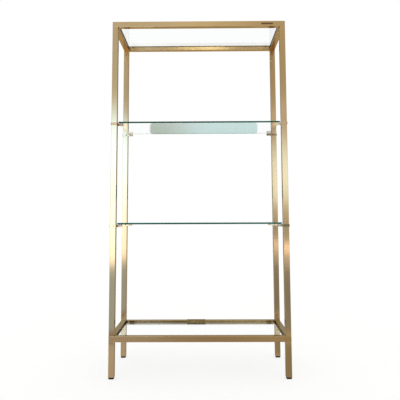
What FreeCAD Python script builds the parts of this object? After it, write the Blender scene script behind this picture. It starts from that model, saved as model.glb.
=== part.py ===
import FreeCAD, Part
import os

import Sketcher
from FreeCAD import Vector

# Etagere: a frame of square brass-coloured tube that carries inset glass panes at the top and the
# bottom, and two loose glass shelves on clips between them.
# Millimetres, +Z up, front towards -Y, origin on the floor at the middle of the footprint.

SIZES = (
    # alias, value, meaning
    ("overall_width", 900.0, "over the posts, left to right"),
    ("overall_depth", 390.0, "over the posts, front to back"),
    ("tube_side", 28.5, "square tube of posts, legs and rails"),
    ("tube_wall", 1.5, "wall of that tube"),
    ("tube_edge_radius", 1.2, "rounding of the tube's long edges"),
    ("leg_length", 168.0, "tube of a leg, between foot and bottom frame"),
    ("post_length", 1574.0, "tube of a post, between the two frames"),
    ("foot_height", 9.0, "plastic foot below the leg's tube"),
    ("foot_inset", 1.0, "foot inside the tube's faces"),
    ("foot_edge_radius", 3.5, "rounding of the foot's sole"),
    ("foot_plug_side", 19.0, "core of the plug inside the leg"),
    ("foot_plug_length", 22.0, "plug above the foot"),
    ("foot_fin_thickness", 1.5, "fin that grips the tube"),
    ("foot_fin_pitch", 6.0, "fin to fin"),
    ("foot_fin_clearance", 0.1, "fin to the tube's inside"),
    ("spigot_length", 48.0, "block on a frame corner that a post slides over"),
    ("spigot_clearance", 0.25, "block to the tube's inside"),
    ("spigot_wall", 4.0, "wall and floor of the hollow block"),
    ("spigot_lead_in", 1.5, "bevel at the block's free end"),
    ("set_screw_offset", 30.0, "set screw to the frame"),
    ("set_screw_diameter", 5.0, "headless screw that locks a post to its spigot"),
    ("set_screw_length", 7.0, "its length"),
    ("set_screw_sink", 0.3, "its face below the post's face"),
    ("set_screw_socket", 2.5, "its socket across flats"),
    ("set_screw_socket_depth", 2.0, "depth of that socket"),
    ("screw_clearance", 0.1, "screw to the side of its hole"),
    ("clip_height", 12.5, "strip of a shelf clip, bottom to top"),
    ("clip_strip", 2.5, "thickness of that strip"),
    ("clip_arm_length", 30.0, "arm beyond the post's inner face"),
    ("clip_tip_radius", 3.5, "rounding of the arm's tip"),
    ("clip_screw_inset", 7.5, "screw inside the post's inner edge"),
    ("clip_screw_diameter", 3.5, "screw that fixes a clip to its post"),
    ("clip_screw_length", 9.0, "below its head"),
    ("clip_head_diameter", 6.0, "head of that screw"),
    ("clip_head_height", 1.8, "head above the clip"),
    ("clip_head_rounding", 0.6, "rounding of the head's rim"),
    ("clip_socket", 2.5, "its socket across flats"),
    ("clip_socket_depth", 1.1, "depth of that socket"),
    ("lower_clip_rise", 546.5, "top of the lower clips above the posts' lower ends"),
    ("upper_clip_rise", 1068.0, "top of the upper clips above the posts' lower ends"),
    ("cushion_length", 16.0, "clear sleeve on a clip's arm"),
    ("cushion_wall", 0.8, "thickness of that sleeve"),
    ("cushion_drop", 5.0, "sleeve below the arm's upper edge"),
    ("cushion_tip_gap", 4.0, "sleeve behind the arm's tip"),
    ("rest_gap", 0.3, "loose pane above what carries it"),
    ("shelf_glass", 8.0, "thickness of a shelf"),
    ("shelf_side_gap", 3.5, "shelf to the posts' inner faces"),
    ("shelf_setback", 24.0, "shelf behind the posts' front faces, and the same at the back"),
    ("pane_corner_radius", 2.0, "rounding of a pane's corners"),
    ("pane_edge_bevel", 0.6, "bevel along a pane's edges"),
    ("top_glass", 6.0, "thickness of the top pane"),
    ("top_glass_recess", 1.5, "top pane below the upper face of its frame"),
    ("frame_pane_gap", 1.5, "inset pane to its frame"),
    ("base_glass", 6.0, "thickness of the bottom pane"),
    ("base_glass_recess", 10.5, "bottom pane below the upper face of its frame"),
    ("peg_diameter", 5.0, "round peg under an inset pane"),
    ("peg_reach", 8.0, "peg out of the rail"),
    ("peg_root", 1.0, "peg inside the rail's wall"),
    ("peg_bevel", 0.6, "bevel at the peg's end"),
    ("peg_corner_distance", 25.5, "peg to the frame's inner corner"),
    ("retainer_width", 105.0, "folded sheet over the bottom frame's back rail"),
    ("retainer_sheet", 1.0, "its thickness"),
    ("retainer_front_lip", 16.0, "its front lip below the rail's upper face"),
    ("retainer_back_lip", 12.0, "its back lip below the rail's upper face"),
    ("retainer_offset", -24.0, "its middle from the middle of the rail"),
    ("plate_width", 61.0, "blank plate on the top frame's front rail"),
    ("plate_height", 8.0, "its height"),
    ("plate_thickness", 0.8, "its thickness"),
    ("plate_corner_radius", 1.0, "rounding of its corners"),
    ("plate_end_distance", 62.5, "plate to the rail's right end"),
)

FINS_PER_FOOT = 3
CUT_OVERRUN = "1"
SAME_PLACE = 1e-4

SIDES = {"left": -1, "right": 1}
ENDS = {"front": -1, "back": 1}

DOC = FreeCAD.newDocument("etagere")
SHEET = DOC.addObject("Spreadsheet::Sheet", "sizes")
for row, (alias, number, meaning) in enumerate(SIZES, start=1):
    SHEET.set(f"A{row}", alias)
    SHEET.set(f"B{row}", str(number))
    SHEET.set(f"C{row}", meaning)
    SHEET.setAlias(f"B{row}", alias)
DOC.recompute()

# Places and lengths that several pieces share, as expressions of the driving sizes.
HALF_TUBE = "(sizes.tube_side / 2)"
TUBE_BORE = "(sizes.tube_side - 2 * sizes.tube_wall)"
POST_X = "((sizes.overall_width - sizes.tube_side) / 2)"
POST_Y = "((sizes.overall_depth - sizes.tube_side) / 2)"
INNER_X = "(sizes.overall_width / 2 - sizes.tube_side)"
INNER_Y = "(sizes.overall_depth / 2 - sizes.tube_side)"
BOTTOM_FRAME_Z = "(sizes.foot_height + sizes.leg_length)"
POST_BASE_Z = f"({BOTTOM_FRAME_Z} + sizes.tube_side)"
POST_TOP_Z = f"({POST_BASE_Z} + sizes.post_length)"
PEG_X = f"({INNER_X} - sizes.peg_corner_distance)"
TOP_GLASS_DROP = "(sizes.top_glass_recess + sizes.top_glass)"
BASE_GLASS_DROP = "(sizes.base_glass_recess + sizes.base_glass)"
BASE_GLASS_GAP = "(sizes.frame_pane_gap + sizes.retainer_sheet)"
CLIP_SCREW_X = f"({HALF_TUBE} - sizes.clip_screw_inset)"
SHELF_RISES = {"lower": "sizes.lower_clip_rise", "upper": "sizes.upper_clip_rise"}

NODES = []


def size(expression):
    """The number that an expression of the sheet's sizes gives."""
    return float(SHEET.evalExpression(expression))


def place(thing, x="0", y="0", z="0"):
    """Bind an object's position to expressions of the sheet."""
    for axis, expression in zip("xyz", (x, y, z)):
        thing.setExpression(f"Placement.Base.{axis}", expression)


def keep(thing):
    """Count an object as one of the etagere's pieces."""
    NODES.append(thing)
    return thing


# ---------------------------------------------------------------- sketches and features

def new_body(label):
    body = DOC.addObject("PartDesign::Body", label)
    body.Label = label
    return body


def new_sketch(body, plane, name, offset="0"):
    """A sketch on one of its body's own origin planes, moved along the plane's normal."""
    sketch = body.newObject("Sketcher::SketchObject", name)
    support = next(item for item in body.Origin.OriginFeatures if item.Role == plane)
    sketch.AttachmentSupport = [(support, "")]
    sketch.MapMode = "FlatFace"
    sketch.setExpression("AttachmentOffset.Base.z", offset)
    return sketch


def fix_point(sketch, geometry, point, x, y):
    """Tie one point of a sketch to a pair of expressions."""
    for kind, expression in (("DistanceX", x), ("DistanceY", y)):
        index = sketch.addConstraint(Sketcher.Constraint(kind, geometry, point, size(expression)))
        name = f"{kind}_{geometry}_{point}"
        sketch.renameConstraint(index, name)
        sketch.setExpression(f"Constraints.{name}", expression)


def add_polygon(sketch, corners):
    """A closed outline through corners, each a pair of expressions."""
    first = sketch.GeometryCount
    count = len(corners)
    points = [Vector(size(x), size(y), 0) for x, y in corners]
    for index in range(count):
        line = Part.LineSegment(points[index], points[(index + 1) % count])
        sketch.addGeometry(line, False)
    for index in range(count):
        following = first + (index + 1) % count
        sketch.addConstraint(Sketcher.Constraint("Coincident", first + index, 2, following, 1))
    for index, (x, y) in enumerate(corners):
        fix_point(sketch, first + index, 1, x, y)


def add_rectangle(sketch, width, depth):
    """A rectangle about the sketch's origin."""
    right = f"({width}) / 2"
    back = f"({depth}) / 2"
    left = f"-{right}"
    front = f"-{back}"
    add_polygon(sketch, ((left, front), (right, front), (right, back), (left, back)))


def add_circle(sketch, x, y, diameter):
    round_line = Part.Circle(Vector(size(x), size(y), 0), Vector(0, 0, 1), size(diameter) / 2)
    index = sketch.addGeometry(round_line, False)
    fix_point(sketch, index, 3, x, y)
    constraint = sketch.addConstraint(Sketcher.Constraint("Diameter", index, size(diameter)))
    name = f"Diameter_{index}"
    sketch.renameConstraint(constraint, name)
    sketch.setExpression(f"Constraints.{name}", diameter)


def add_hexagon(sketch, flats):
    """A hexagon about the sketch's origin, given across its flats."""
    wide = f"({flats}) / sqrt(3)"
    half = f"{wide} / 2"
    top = f"({flats}) / 2"
    corners = ((wide, "0"), (half, top), (f"-{half}", top),
               (f"-{wide}", "0"), (f"-{half}", f"-{top}"), (half, f"-{top}"))
    add_polygon(sketch, corners)


def pad(sketch, length, both_ways=False, backwards=False):
    body = sketch.getParentGeoFeatureGroup()
    feature = body.newObject("PartDesign::Pad", f"{sketch.Name}_pad")
    feature.Profile = sketch
    feature.SideType = "Symmetric" if both_ways else "One side"
    feature.Reversed = backwards
    feature.setExpression("Length", length)
    sketch.Visibility = False
    DOC.recompute()
    return feature


def pocket(sketch, length, both_ways=False, backwards=False):
    """Cut a sketch out of its body; a cut that misses the body is an error."""
    body = sketch.getParentGeoFeatureGroup()
    before = body.Shape.Volume
    feature = body.newObject("PartDesign::Pocket", f"{sketch.Name}_pocket")
    feature.Profile = sketch
    feature.SideType = "Symmetric" if both_ways else "One side"
    feature.Reversed = backwards
    feature.setExpression("Length", length)
    sketch.Visibility = False
    DOC.recompute()
    if body.Shape.Volume >= before:
        raise RuntimeError(f"{feature.Name} cuts nothing")
    return feature


def edge_names(feature, wanted):
    """Names of the feature's edges that a test of (middle, direction) accepts."""
    names = []
    for index, edge in enumerate(feature.Shape.Edges, start=1):
        middle = edge.valueAt((edge.FirstParameter + edge.LastParameter) / 2)
        direction = edge.tangentAt(edge.FirstParameter)
        if wanted(middle, direction):
            names.append(f"Edge{index}")
    return names


def soften(feature, kind, radius, wanted):
    """Round ("Fillet") or bevel ("Chamfer") the edges that a test accepts."""
    body = feature.getParentGeoFeatureGroup()
    result = body.newObject(f"PartDesign::{kind}", f"{feature.Name}_{kind.lower()}")
    result.Base = (feature, edge_names(feature, wanted))
    result.setExpression("Radius" if kind == "Fillet" else "Size", radius)
    DOC.recompute()
    return result


def same(first, second):
    return abs(first - second) < SAME_PLACE


def is_along(direction, axis):
    """Whether a direction runs along the axis of index 0, 1 or 2."""
    return same(abs(direction[axis]), 1)


def corner_set(label, source):
    """Four copies of a piece, one at each post, mirrored from the one at the back right."""
    copies = [source]
    for across in (Vector(1, 0, 0), Vector(0, 1, 0)):
        for original in list(copies):
            mirrored = DOC.addObject("Part::Mirroring", f"{label}_mirrored")
            mirrored.Source = original
            mirrored.Normal = across
            copies.append(mirrored)
    group = DOC.addObject("Part::Compound", label)
    group.Label = label
    group.Links = copies
    return keep(group)


# ---------------------------------------------------------------- tube frame

TUBE_PLANES = {0: "YZ_Plane", 1: "XZ_Plane", 2: "XY_Plane"}


def tube(label, axis, length, both_ways):
    """A square tube with rounded long edges along one axis of its own body."""
    body = new_body(label)
    sketch = new_sketch(body, TUBE_PLANES[axis], f"{label}_section")
    add_rectangle(sketch, "sizes.tube_side", "sizes.tube_side")
    add_rectangle(sketch, TUBE_BORE, TUBE_BORE)
    blank = pad(sketch, length, both_ways)
    outside = size(HALF_TUBE)
    across = [index for index in range(3) if index != axis]

    def is_outer_edge(middle, direction):
        on_corner = all(same(abs(middle[index]), outside) for index in across)
        return is_along(direction, axis) and on_corner

    soften(blank, "Fillet", "sizes.tube_edge_radius", is_outer_edge)
    return keep(body)


def mitre(body, axis, length, outward):
    """Cut both ends of a rail at 45 degrees, keeping its outward face at full length."""
    sketch = new_sketch(body, "XY_Plane", f"{body.Name}_mitre")
    side = f"({HALF_TUBE} + {CUT_OVERRUN})"
    outer = f"{outward} * {side}"
    inner = f"-{outward} * {side}"
    for end in (-1, 1):
        far = f"{end} * ({length} / 2 + {CUT_OVERRUN})"
        near = f"{end} * ({length} / 2 - sizes.tube_side - {CUT_OVERRUN})"
        corners = [(far, outer), (far, inner), (near, inner)]
        if axis == 1:
            corners = [(across, along) for along, across in corners]
        add_polygon(sketch, corners)
    pocket(sketch, "2 * sizes.tube_side", both_ways=True)


def drill_towards_middle(body, holes, outward, name):
    """Drill round holes (x, z, diameter) through the wall that faces the etagere's middle."""
    sketch = new_sketch(body, "XZ_Plane", name)
    for x, z, diameter in holes:
        add_circle(sketch, x, z, diameter)
    pocket(sketch, "sizes.tube_side", backwards=outward > 0)


def peg_hole(side, height):
    return (f"{side} * {PEG_X}", height, "sizes.peg_diameter")


def frame_of_rails(level, centre_z, peg_height):
    """Four mitred rails around one opening, with peg holes in the long ones."""
    for end, outward in ENDS.items():
        rail = tube(f"{level}_rail_{end}", 0, "sizes.overall_width", both_ways=True)
        mitre(rail, 0, "sizes.overall_width", outward)
        holes = [peg_hole(side, peg_height) for side in SIDES.values()]
        drill_towards_middle(rail, holes, outward, f"{rail.Name}_peg_holes")
        place(rail, y=f"{outward} * {POST_Y}", z=centre_z)
    for side, outward in SIDES.items():
        rail = tube(f"{level}_rail_{side}", 1, "sizes.overall_depth", both_ways=True)
        mitre(rail, 1, "sizes.overall_depth", outward)
        place(rail, x=f"{outward} * {POST_X}", z=centre_z)


def peg_centre(pane_drop):
    """Height of the pegs under an inset pane, from the middle of the rail."""
    return f"({HALF_TUBE} - {pane_drop} - sizes.rest_gap - sizes.peg_diameter / 2)"


def pegs(label, frame_centre_z, height):
    """Four round pegs in the long rails, on which an inset pane lies."""
    body = new_body(f"{label}_single")
    sketch = new_sketch(body, "XZ_Plane", f"{label}_section")
    add_circle(sketch, "0", "0", "sizes.peg_diameter")
    length = "(sizes.peg_reach + sizes.tube_wall + sizes.peg_root)"
    blank = pad(sketch, length)
    tip = -size(length)
    soften(blank, "Chamfer", "sizes.peg_bevel", lambda middle, direction: same(middle.y, tip))
    place(body, PEG_X, f"{INNER_Y} + sizes.tube_wall + sizes.peg_root", f"{frame_centre_z} + {height}")
    corner_set(label, body)


def post(side, end):
    """A post with holes for its two set screws and two clip screws, facing the middle."""
    across = SIDES[side]
    outward = ENDS[end]
    body = tube(f"post_{end}_{side}", 2, "sizes.post_length", both_ways=False)
    set_hole = "(sizes.set_screw_diameter + 2 * sizes.screw_clearance)"
    clip_hole = "(sizes.clip_screw_diameter + 2 * sizes.screw_clearance)"
    holes = [("0", "sizes.set_screw_offset", set_hole),
             ("0", "sizes.post_length - sizes.set_screw_offset", set_hole)]
    for rise in SHELF_RISES.values():
        holes.append((f"{-across} * {CLIP_SCREW_X}", f"{rise} - sizes.clip_height / 2", clip_hole))
    drill_towards_middle(body, holes, outward, f"{body.Name}_screw_holes")
    place(body, f"{across} * {POST_X}", f"{outward} * {POST_Y}", POST_BASE_Z)


def leg(side, end):
    body = tube(f"leg_{end}_{side}", 2, "sizes.leg_length", both_ways=False)
    place(body, f"{SIDES[side]} * {POST_X}", f"{ENDS[end]} * {POST_Y}", "sizes.foot_height")


def spigot(label, across, outward, base_z, upward):
    """A hollow block welded to a frame corner, which fills the end of a post."""
    body = new_body(label)
    side = f"({TUBE_BORE} - 2 * sizes.spigot_clearance)"
    section = new_sketch(body, "XY_Plane", f"{label}_section")
    add_rectangle(section, side, side)
    block = pad(section, "sizes.spigot_length", backwards=upward < 0)
    free_end = upward * size("sizes.spigot_length")
    soften(block, "Chamfer", "sizes.spigot_lead_in", lambda middle, direction: same(middle.z, free_end))
    hollow = new_sketch(body, "XY_Plane", f"{label}_hollow", f"{upward} * sizes.spigot_length")
    inside = f"({side} - 2 * sizes.spigot_wall)"
    add_rectangle(hollow, inside, inside)
    pocket(hollow, "sizes.spigot_length - sizes.spigot_wall", backwards=upward < 0)
    thread = "(sizes.set_screw_diameter + 2 * sizes.screw_clearance)"
    hole = ("0", f"{upward} * sizes.set_screw_offset", thread)
    drill_towards_middle(body, [hole], outward, f"{label}_thread")
    place(body, f"{across} * {POST_X}", f"{outward} * {POST_Y}", base_z)
    keep(body)


def foot(side, end):
    """A plastic foot whose finned plug is pushed up into the leg."""
    label = f"foot_{end}_{side}"
    body = new_body(label)
    width = "(sizes.tube_side - 2 * sizes.foot_inset)"
    sole = new_sketch(body, "XY_Plane", f"{label}_sole")
    add_rectangle(sole, width, width)
    block = pad(sole, "sizes.foot_height")
    upper_face = size("sizes.foot_height")
    rounded = soften(block, "Fillet", "sizes.foot_edge_radius",
                     lambda middle, direction: not same(middle.z, upper_face))
    plug = new_sketch(body, "XY_Plane", f"{label}_plug", "sizes.foot_height")
    add_rectangle(plug, "sizes.foot_plug_side", "sizes.foot_plug_side")
    pad(plug, "sizes.foot_plug_length")
    fin = new_sketch(body, "XY_Plane", f"{label}_fin", "sizes.foot_height + sizes.foot_fin_pitch / 2")
    fin_side = f"({TUBE_BORE} - 2 * sizes.foot_fin_clearance)"
    add_rectangle(fin, fin_side, fin_side)
    first_fin = pad(fin, "sizes.foot_fin_thickness")
    fins = body.newObject("PartDesign::LinearPattern", f"{label}_fins")
    fins.Originals = [first_fin]
    fins.Direction = (fin, ["N_Axis"])
    fins.Occurrences = FINS_PER_FOOT
    fins.setExpression("Length", f"{FINS_PER_FOOT - 1} * sizes.foot_fin_pitch")
    body.Tip = fins
    DOC.recompute()
    if rounded.Shape.Volume >= block.Shape.Volume:
        raise RuntimeError(f"{label} has a sharp sole")
    place(body, f"{SIDES[side]} * {POST_X}", f"{ENDS[end]} * {POST_Y}")
    keep(body)


# ---------------------------------------------------------------- screws

def screw(label, shank_diameter, shank_length, socket, socket_depth, head=None):
    """A screw along +Y with a hexagon socket; head is (diameter, height, rounding) or None."""
    body = new_body(label)
    face = "0"
    if head:
        head_diameter, face, rounding = head
        disc = new_sketch(body, "XZ_Plane", f"{label}_head")
        add_circle(disc, "0", "0", head_diameter)
        blank = pad(disc, face)
        rim = -size(face)
        soften(blank, "Fillet", rounding, lambda middle, direction: same(middle.y, rim))
    shank = new_sketch(body, "XZ_Plane", f"{label}_shank")
    add_circle(shank, "0", "0", shank_diameter)
    pad(shank, shank_length, backwards=True)
    recess = new_sketch(body, "XZ_Plane", f"{label}_socket", face)
    add_hexagon(recess, socket)
    pocket(recess, socket_depth)
    return body


def set_screws(level, height):
    """The headless screws that lock the posts to one frame."""
    label = f"set_screws_{level}"
    single = screw(f"{label}_single", "sizes.set_screw_diameter", "sizes.set_screw_length",
                   "sizes.set_screw_socket", "sizes.set_screw_socket_depth")
    place(single, POST_X, f"{INNER_Y} + sizes.set_screw_sink", height)
    corner_set(label, single)


def clip_screws(level, rise):
    """The screws that fix one shelf's clips to the posts."""
    label = f"clip_screws_{level}"
    head = ("sizes.clip_head_diameter", "sizes.clip_head_height", "sizes.clip_head_rounding")
    single = screw(f"{label}_single", "sizes.clip_screw_diameter", "sizes.clip_screw_length",
                   "sizes.clip_socket", "sizes.clip_socket_depth", head)
    place(single, f"{POST_X} - {CLIP_SCREW_X}", f"{INNER_Y} - sizes.clip_strip",
          f"{POST_BASE_Z} + {rise} - sizes.clip_height / 2")
    corner_set(label, single)


# ---------------------------------------------------------------- shelf clips

def clip(level, side, end, rise):
    """A strip bent round a post, with an arm under the shelf on the side that faces the middle."""
    label = f"clip_{level}_{end}_{side}"
    inward = -SIDES[side]
    to_middle = -ENDS[end]
    body = new_body(label)
    collar = new_sketch(body, "XY_Plane", f"{label}_collar")
    outside = f"({HALF_TUBE} + sizes.clip_strip)"
    tip = f"({HALF_TUBE} + sizes.clip_arm_length)"
    outline = ((f"-{outside}", f"-{outside}"), (outside, f"-{outside}"), (outside, HALF_TUBE),
               (tip, HALF_TUBE), (tip, outside), (f"-{outside}", outside))
    add_polygon(collar, [(f"{inward} * {along}", f"{to_middle} * {across}") for along, across in outline])
    add_rectangle(collar, "sizes.tube_side", "sizes.tube_side")
    strip = pad(collar, "sizes.clip_height")
    reach = size(outside)
    tip_reach = size(tip)

    def is_bend(middle, direction):
        on_corner = same(abs(middle.x), reach) and same(abs(middle.y), reach)
        return is_along(direction, 2) and on_corner

    def is_tip(middle, direction):
        return is_along(direction, 1) and same(abs(middle.x), tip_reach)

    bent = soften(strip, "Fillet", "sizes.clip_strip", is_bend)
    soften(bent, "Fillet", "sizes.clip_tip_radius", is_tip)
    hole = new_sketch(body, "XZ_Plane", f"{label}_screw_hole")
    diameter = "sizes.clip_screw_diameter + 2 * sizes.screw_clearance"
    add_circle(hole, f"{inward} * {CLIP_SCREW_X}", "sizes.clip_height / 2", diameter)
    pocket(hole, f"{outside} + {CUT_OVERRUN}", backwards=to_middle < 0)
    place(body, f"{-inward} * {POST_X}", f"{-to_middle} * {POST_Y}",
          f"{POST_BASE_Z} + {rise} - sizes.clip_height")
    keep(body)


def cushions(level, rise):
    """Clear sleeves pushed over the clips' arms, on which the glass lies."""
    label = f"cushions_{level}"
    body = new_body(f"{label}_single")
    section = new_sketch(body, "YZ_Plane", f"{label}_section")
    inside = "(sizes.clip_strip / 2)"
    outside = f"({inside} + sizes.cushion_wall)"
    drop = "-sizes.cushion_drop"
    add_polygon(section, ((f"-{outside}", drop), (f"-{inside}", drop), (f"-{inside}", "0"), (inside, "0"),
                          (inside, drop), (outside, drop), (outside, "sizes.cushion_wall"),
                          (f"-{outside}", "sizes.cushion_wall")))
    pad(section, "sizes.cushion_length")
    place(body, f"{INNER_X} - sizes.clip_arm_length + sizes.cushion_tip_gap",
          f"{INNER_Y} - {inside}", f"{POST_BASE_Z} + {rise}")
    corner_set(label, body)


# ---------------------------------------------------------------- panes

def pane(label, width, depth, thickness, base_z):
    """A pane with rounded corners and bevelled edges."""
    body = new_body(label)
    outline = new_sketch(body, "XY_Plane", f"{label}_outline")
    add_rectangle(outline, width, depth)
    sheet = pad(outline, thickness)
    rounded = soften(sheet, "Fillet", "sizes.pane_corner_radius",
                     lambda middle, direction: is_along(direction, 2))
    levels = (0, size(thickness))
    soften(rounded, "Chamfer", "sizes.pane_edge_bevel",
           lambda middle, direction: any(same(middle.z, level) for level in levels))
    place(body, z=base_z)
    keep(body)


def shelf(level, rise):
    width = f"2 * ({INNER_X} - sizes.shelf_side_gap)"
    depth = "sizes.overall_depth - 2 * sizes.shelf_setback"
    rest = f"{POST_BASE_Z} + {rise} + sizes.cushion_wall + sizes.rest_gap"
    pane(f"{level}_shelf_glass", width, depth, "sizes.shelf_glass", rest)


def top_pane():
    width = f"2 * ({INNER_X} - sizes.frame_pane_gap)"
    depth = f"2 * ({INNER_Y} - sizes.frame_pane_gap)"
    rest = f"{POST_TOP_Z} + sizes.tube_side - {TOP_GLASS_DROP}"
    pane("top_glass", width, depth, "sizes.top_glass", rest)


def bottom_pane():
    """The bottom pane, small enough to pass the lip of the retainer when it is lifted out."""
    width = f"2 * ({INNER_X} - {BASE_GLASS_GAP})"
    depth = f"2 * ({INNER_Y} - {BASE_GLASS_GAP})"
    rest = f"{POST_BASE_Z} - {BASE_GLASS_DROP}"
    pane("base_glass", width, depth, "sizes.base_glass", rest)


# ---------------------------------------------------------------- trim

def retainer():
    """A folded sheet over the bottom frame's back rail that keeps the pane's back edge in line."""
    body = new_body("glass_retainer")
    section = new_sketch(body, "YZ_Plane", "glass_retainer_section")
    outside = f"({HALF_TUBE} + sizes.retainer_sheet)"
    front_end = f"{HALF_TUBE} - sizes.retainer_front_lip"
    back_end = f"{HALF_TUBE} - sizes.retainer_back_lip"
    outline = ((f"-{outside}", front_end), (f"-{outside}", outside), (outside, outside),
               (outside, back_end), (HALF_TUBE, back_end), (HALF_TUBE, HALF_TUBE),
               (f"-{HALF_TUBE}", HALF_TUBE), (f"-{HALF_TUBE}", front_end))
    add_polygon(section, outline)
    folded = pad(section, "sizes.retainer_width", both_ways=True)
    reach = size(outside)

    def is_fold(middle, direction):
        return is_along(direction, 0) and same(abs(middle.y), reach) and same(middle.z, reach)

    soften(folded, "Fillet", "sizes.retainer_sheet", is_fold)
    place(body, "sizes.retainer_offset", POST_Y, f"{BOTTOM_FRAME_Z} + {HALF_TUBE}")
    keep(body)


def blank_plate():
    """A blank plate on the front of the top frame."""
    body = new_body("blank_plate")
    outline = new_sketch(body, "XZ_Plane", "blank_plate_outline")
    add_rectangle(outline, "sizes.plate_width", "sizes.plate_height")
    sheet = pad(outline, "sizes.plate_thickness")
    soften(sheet, "Fillet", "sizes.plate_corner_radius",
           lambda middle, direction: is_along(direction, 1))
    place(body, "sizes.overall_width / 2 - sizes.plate_end_distance - sizes.plate_width / 2",
          "-sizes.overall_depth / 2", f"{POST_TOP_Z} + {HALF_TUBE}")
    keep(body)


# ---------------------------------------------------------------- the etagere

TOP_FRAME_CENTRE_Z = f"({POST_TOP_Z} + {HALF_TUBE})"
BOTTOM_FRAME_CENTRE_Z = f"({BOTTOM_FRAME_Z} + {HALF_TUBE})"
TOP_PEG_HEIGHT = peg_centre(TOP_GLASS_DROP)
BOTTOM_PEG_HEIGHT = peg_centre(BASE_GLASS_DROP)

frame_of_rails("top", TOP_FRAME_CENTRE_Z, TOP_PEG_HEIGHT)
frame_of_rails("bottom", BOTTOM_FRAME_CENTRE_Z, BOTTOM_PEG_HEIGHT)
pegs("top_pegs", TOP_FRAME_CENTRE_Z, TOP_PEG_HEIGHT)
pegs("bottom_pegs", BOTTOM_FRAME_CENTRE_Z, BOTTOM_PEG_HEIGHT)
for end_name in ENDS:
    for side_name in SIDES:
        post(side_name, end_name)
        leg(side_name, end_name)
        foot(side_name, end_name)
        corner = (SIDES[side_name], ENDS[end_name])
        spigot(f"top_spigot_{end_name}_{side_name}", *corner, POST_TOP_Z, upward=-1)
        spigot(f"bottom_spigot_{end_name}_{side_name}", *corner, POST_BASE_Z, upward=1)
        for level_name, clip_rise in SHELF_RISES.items():
            clip(level_name, side_name, end_name, clip_rise)
set_screws("top", f"{POST_TOP_Z} - sizes.set_screw_offset")
set_screws("bottom", f"{POST_BASE_Z} + sizes.set_screw_offset")
for level_name, clip_rise in SHELF_RISES.items():
    clip_screws(level_name, clip_rise)
    cushions(level_name, clip_rise)
    shelf(level_name, clip_rise)
top_pane()
bottom_pane()
retainer()
blank_plate()
DOC.recompute()

for item in DOC.Objects:
    if "Invalid" in item.State or "Error" in item.State:
        raise RuntimeError(f"{item.Name} failed: {item.State}")
for node in NODES:
    if node.Shape.isNull() or not node.Shape.isValid():
        raise RuntimeError(f"{node.Label} has no valid shape")

os.makedirs("parts", exist_ok=True)
for node in NODES:
    node.Shape.exportStep(f"parts/{node.Label}.step")
    print(f"{node.Label:30s} {len(node.Shape.Solids)} solid(s), {node.Shape.Volume:12.1f} mm3")
print(f"{len(NODES)} pieces")
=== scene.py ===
"""Dresses the etagere: a satin brass frame with clear glass panes, standing in a pale studio."""

import logging
import math
from collections.abc import Iterable
from dataclasses import dataclass, field
from enum import Enum

import bmesh
import bpy
from mathutils import Matrix, Vector


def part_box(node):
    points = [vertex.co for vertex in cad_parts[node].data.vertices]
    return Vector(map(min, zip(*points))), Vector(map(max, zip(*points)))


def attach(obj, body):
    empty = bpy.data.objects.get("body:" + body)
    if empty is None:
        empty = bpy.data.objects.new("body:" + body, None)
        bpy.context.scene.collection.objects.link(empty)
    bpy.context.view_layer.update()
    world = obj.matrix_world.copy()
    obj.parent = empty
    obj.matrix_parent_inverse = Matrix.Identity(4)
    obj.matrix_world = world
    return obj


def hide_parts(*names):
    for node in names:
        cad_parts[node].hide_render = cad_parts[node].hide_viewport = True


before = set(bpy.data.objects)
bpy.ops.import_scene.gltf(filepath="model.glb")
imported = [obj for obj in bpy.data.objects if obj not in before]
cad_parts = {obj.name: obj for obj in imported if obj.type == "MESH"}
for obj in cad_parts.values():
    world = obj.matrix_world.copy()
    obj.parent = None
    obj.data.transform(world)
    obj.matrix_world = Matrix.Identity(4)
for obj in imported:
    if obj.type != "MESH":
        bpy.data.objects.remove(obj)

LOG = logging.getLogger("etagere")
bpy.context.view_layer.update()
MM = 0.001
Colour = tuple[float, float, float, float]
Triple = tuple[float, float, float]
Span = tuple[float, float]

FULL: Span = (0.0, 1.0)     # a ramp that rises
EBB: Span = (1.0, 0.0)      # a ramp that falls
WIDE: Span = (0.3, 0.7)     # nearly all of a noise's values
CORE: Span = (0.35, 0.65)   # the middle of a noise's values
WHITE: Colour = (1.0, 1.0, 1.0, 1.0)
FAR = 1.0                   # past the stand on either side, in metres


# ---------------------------------------------------------------- choices

class Grain(Enum):
    """The axis that a tube's brushing follows."""

    ACROSS = "X"
    DEEP = "Y"
    UPRIGHT = "Z"


class Level(Enum):
    """One of the two heights at which clips hold a shelf."""

    LOWER = "lower"
    UPPER = "upper"


class Corner(Enum):
    """A corner of the stand, as its signs along X and Y."""

    FRONT_LEFT = (-1, -1)
    FRONT_RIGHT = (1, -1)
    BACK_LEFT = (-1, 1)
    BACK_RIGHT = (1, 1)

    @property
    def words(self) -> str:
        """The corner's name as the nodes write it."""
        return self.name.lower()


class Patina(Enum):
    """The light or shade painted on a clip's strip, as its tint and its duller spots."""

    PALE = ((0.84, 0.72, 0.50, 1.0), (0.72, 0.60, 0.38, 1.0))
    PLAIN = ((0.44, 0.31, 0.155, 1.0), (0.37, 0.255, 0.12, 1.0))
    DIM = ((0.30, 0.205, 0.100, 1.0), (0.24, 0.160, 0.072, 1.0))
    ROSY = ((0.35, 0.175, 0.068, 1.0), (0.30, 0.145, 0.052, 1.0))
    KHAKI = ((0.175, 0.135, 0.065, 1.0), (0.130, 0.100, 0.045, 1.0))
    DARK = ((0.125, 0.058, 0.016, 1.0), (0.080, 0.036, 0.009, 1.0))


class Reach(Enum):
    """Which rays a light card answers: mirrored ones, and those that pass through glass."""

    MIRRORED = (True, False)
    THROUGH_GLASS = (False, True)


# ---------------------------------------------------------------- node bench

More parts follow.
